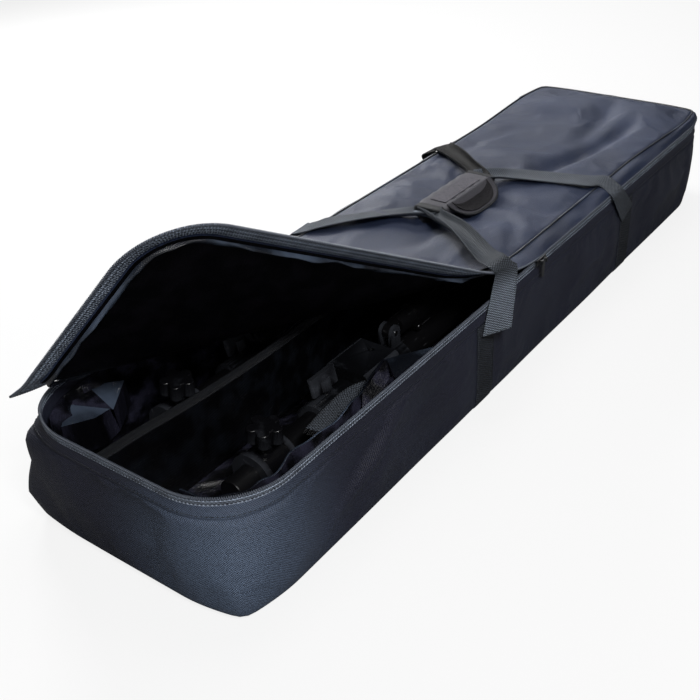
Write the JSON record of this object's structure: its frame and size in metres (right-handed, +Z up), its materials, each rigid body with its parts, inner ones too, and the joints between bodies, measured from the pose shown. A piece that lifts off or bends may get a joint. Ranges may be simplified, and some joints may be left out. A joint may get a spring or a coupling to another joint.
{
  "type": "stand carry bag",
  "caption": "Long padded zip-up carry bag for stands, one lid corner turned back over a divided inside holding folded tripod stands.",
  "frame": {"origin": "centre of the bag's base, on the surface it lies on", "axes": "+X along the bag away from the open end, -Y the zipped front, +Z up"},
  "size_m": [1.2, 0.3242, 0.3587],
  "materials": {
    "outer_nylon": "woven black nylon, matt with a slight sheen",
    "lining": "smooth coated black lining, glossy",
    "board": "hardboard stiffener, hidden under the lining",
    "webbing": "woven black webbing",
    "zip_coil": "nylon coil",
    "zip_tape": "woven zip tape",
    "piping": "covered cord piping",
    "zip_metal": "black enamelled zinc",
    "hook_and_loop": "hook and loop strip",
    "grip_nylon": "padded nylon wrap",
    "black_tube": "black enamelled tube, glossy",
    "black_steel": "black enamelled flat bar",
    "steel": "plated rivets",
    "rubber": "moulded rubber",
    "black_plastic": "moulded black plastic, glossy"
  },
  "bodies": {
    "bag": {"back_stand_feet": "rubber", "back_stand_leg_hub": "black_plastic", "back_stand_legs": "black_tube", "back_stand_lock_collar": "black_plastic", "back_stand_mast_tube": "black_tube", "back_stand_pins": "steel", "back_stand_slide_hub": "black_plastic", "back_stand_struts": "black_steel", "bag_lining": "lining", "base_board": "board", "base_panel": "outer_nylon", "bend_piping": "piping", "bend_zip_tape": "zip_tape", "bend_zip_teeth": "zip_coil", "closed_zip_teeth": "zip_coil", "divider": "lining", "divider_binding": "webbing", "front_stand_feet": "rubber", "front_stand_leg_hub": "black_plastic", "front_stand_legs": "black_tube", "front_stand_lock_collar": "black_plastic", "front_stand_mast_tube": "black_tube", "front_stand_pins": "steel", "front_stand_slide_hub": "black_plastic", "front_stand_struts": "black_steel", "girth_strap_far": "webbing", "girth_strap_near": "webbing", "handle_strap_back_far": "webbing", "handle_strap_back_near": "webbing", "handle_strap_front_far": "webbing", "handle_strap_front_near": "webbing", "inner_strap": "webbing", "lid_bend": "outer_nylon", "lid_hinge_strip": "outer_nylon", "lid_lining": "lining", "lid_panel": "outer_nylon", "lid_piping": "piping", "lid_zip_tape": "zip_tape", "side_wall": "outer_nylon", "wall_zip_tape": "zip_tape", "wall_zip_teeth": "zip_coil"},
    "lid_corner": {"lid_flap": "outer_nylon", "flap_lining": "lining", "flap_zip_tape": "zip_tape", "flap_zip_teeth": "zip_coil", "flap_piping": "piping"},
    "zip_slider": {"zip_slider": "zip_metal"},
    "zip_pull": {"zip_pull": "zip_metal"},
    "handle": {"handle_core": "webbing", "grip_wrap": "grip_nylon", "loop_strip": "hook_and_loop"},
    "grip_flap": {"grip_flap": "grip_nylon", "hook_strip": "hook_and_loop"},
    "front_mast": {"front_stand_mast_inner": "black_tube"},
    "front_lock_knob": {"front_stand_lock_knob": "black_plastic"},
    "front_hub_knob": {"front_stand_hub_knob": "black_plastic"},
    "back_mast": {"back_stand_mast_inner": "black_tube"},
    "back_lock_knob": {"back_stand_lock_knob": "black_plastic"},
    "back_hub_knob": {"back_stand_hub_knob": "black_plastic"}
  },
  "joints": [
    {"name": "lid_corner_fold", "type": "hinge", "parent": "bag", "child": "lid_corner", "pos_m": [-0.53308, 0.11526, 0.15846], "axis": [-0.8572, 0.515, 0], "range_deg": [-62, 12], "deforming": ["lid_bend", "bend_zip_tape", "bend_zip_teeth", "bend_piping"]},
    {"name": "zip_travel", "type": "slide", "parent": "bag", "child": "zip_slider", "axis": [1, 0, 0], "range_m": [0, 0.4], "deforming": ["closed_zip_teeth"]},
    {"name": "pull_swing", "type": "hinge", "parent": "zip_slider", "child": "zip_pull", "pos_m": [-0.01372, -0.16155, 0.1393], "axis": [-1, 0, 0], "range_deg": [0, 150]},
    {"name": "handle_lift", "type": "slide", "parent": "bag", "child": "handle", "axis": [0, 0, 1], "range_m": [0, 0.08], "deforming": ["handle_strap_front_near", "handle_strap_front_far", "handle_strap_back_near", "handle_strap_back_far"]},
    {"name": "grip_flap_peel", "type": "hinge", "parent": "handle", "child": "grip_flap", "pos_m": [0.057, -0.01, 0.17615], "axis": [-1, 0, 0], "range_deg": [0, 213]},
    {"name": "front_mast_draw", "type": "slide", "parent": "bag", "child": "front_mast", "axis": [-1, 0, 0], "range_m": [0, 0.085]},
    {"name": "front_lock_knob_turn", "type": "hinge", "parent": "bag", "child": "front_lock_knob", "pos_m": [-0.437, -0.05, 0.0488], "axis": [0, -0.0698, 0.9976], "continuous": true},
    {"name": "front_hub_knob_turn", "type": "hinge", "parent": "bag", "child": "front_hub_knob", "pos_m": [-0.32, -0.05, 0.0488], "axis": [0, 0.2419, 0.9703], "continuous": true},
    {"name": "back_mast_draw", "type": "slide", "parent": "bag", "child": "back_mast", "axis": [-1, 0, 0], "range_m": [0, 0.085]},
    {"name": "back_lock_knob_turn", "type": "hinge", "parent": "bag", "child": "back_lock_knob", "pos_m": [-0.423, 0.092, 0.0488], "axis": [0, -0.0698, 0.9976], "continuous": true},
    {"name": "back_hub_knob_turn", "type": "hinge", "parent": "bag", "child": "back_hub_knob", "pos_m": [-0.306, 0.092, 0.0488], "axis": [0, 0.2419, 0.9703], "continuous": true}
  ]
}
